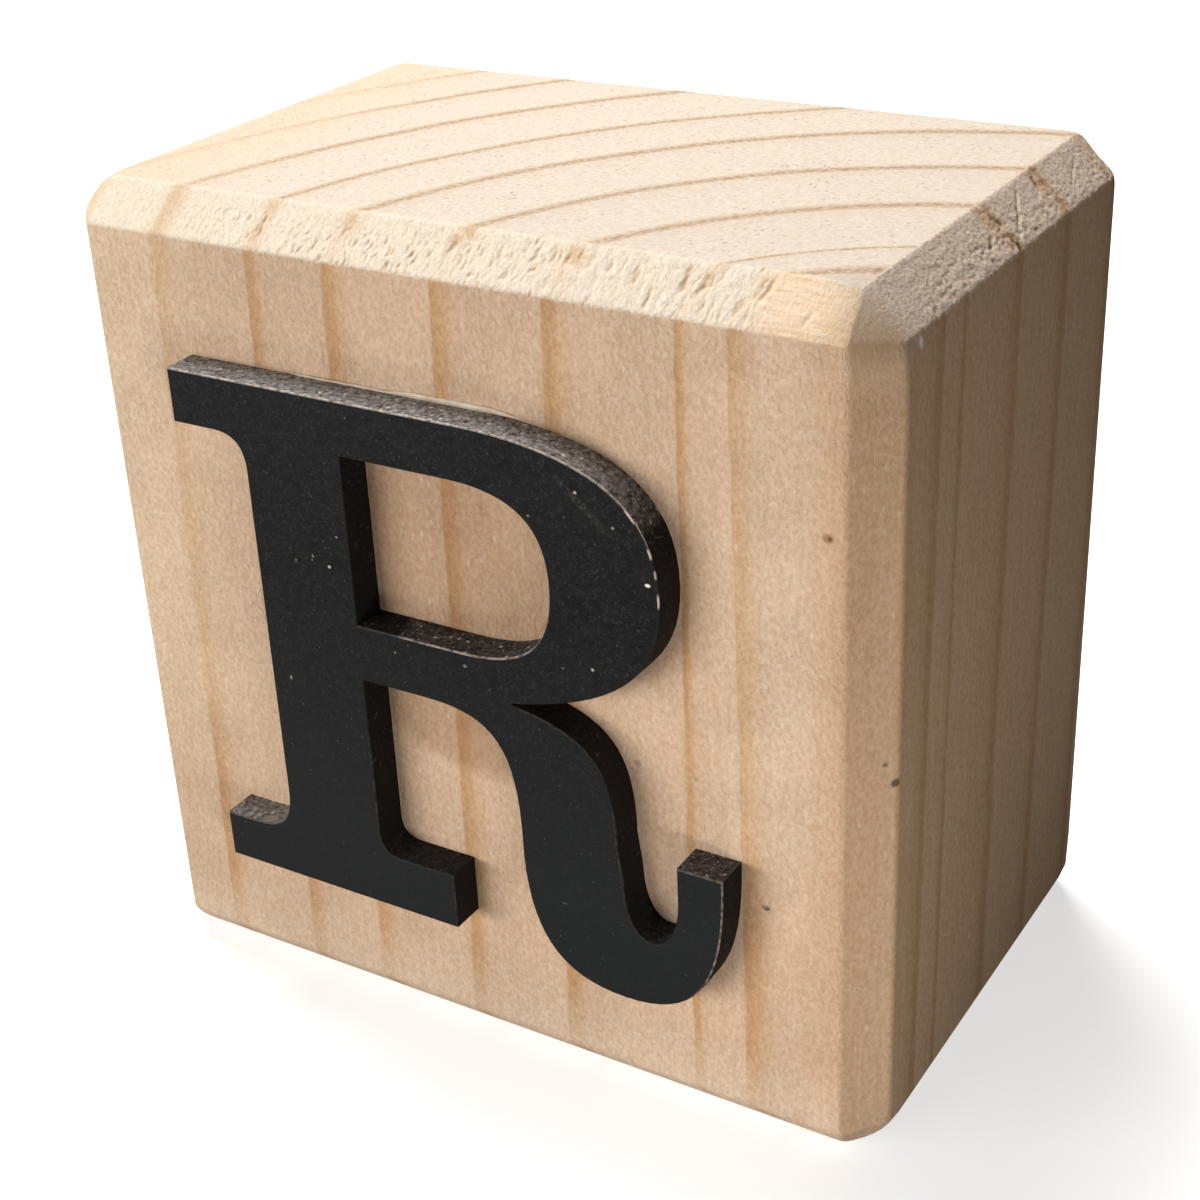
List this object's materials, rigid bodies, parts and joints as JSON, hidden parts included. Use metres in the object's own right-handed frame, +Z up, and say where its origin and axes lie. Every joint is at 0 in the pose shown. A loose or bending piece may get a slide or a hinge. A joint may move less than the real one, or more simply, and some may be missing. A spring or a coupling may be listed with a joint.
{
  "type": "wooden letter block",
  "caption": "Chamfered softwood block with a black cut-out capital letter glued to its front face.",
  "frame": {"origin": "middle of the block's base", "axes": "+Z up along the grain, -Y out of the front face that carries the letter, +X to the right as the letter is read"},
  "size_m": [0.07, 0.048, 0.07],
  "materials": {
    "softwood": "bare planed softwood, torn end grain on the top and bottom chamfers",
    "painted_sheet": "fibreboard with satin black paint on its face and scorched, dusty cut edges",
    "dried_glue": "thin pale dried wood glue"
  },
  "bodies": {
    "root": {"block": "softwood", "letter_r": "painted_sheet", "glue_bead": "dried_glue"}
  },
  "joints": []
}
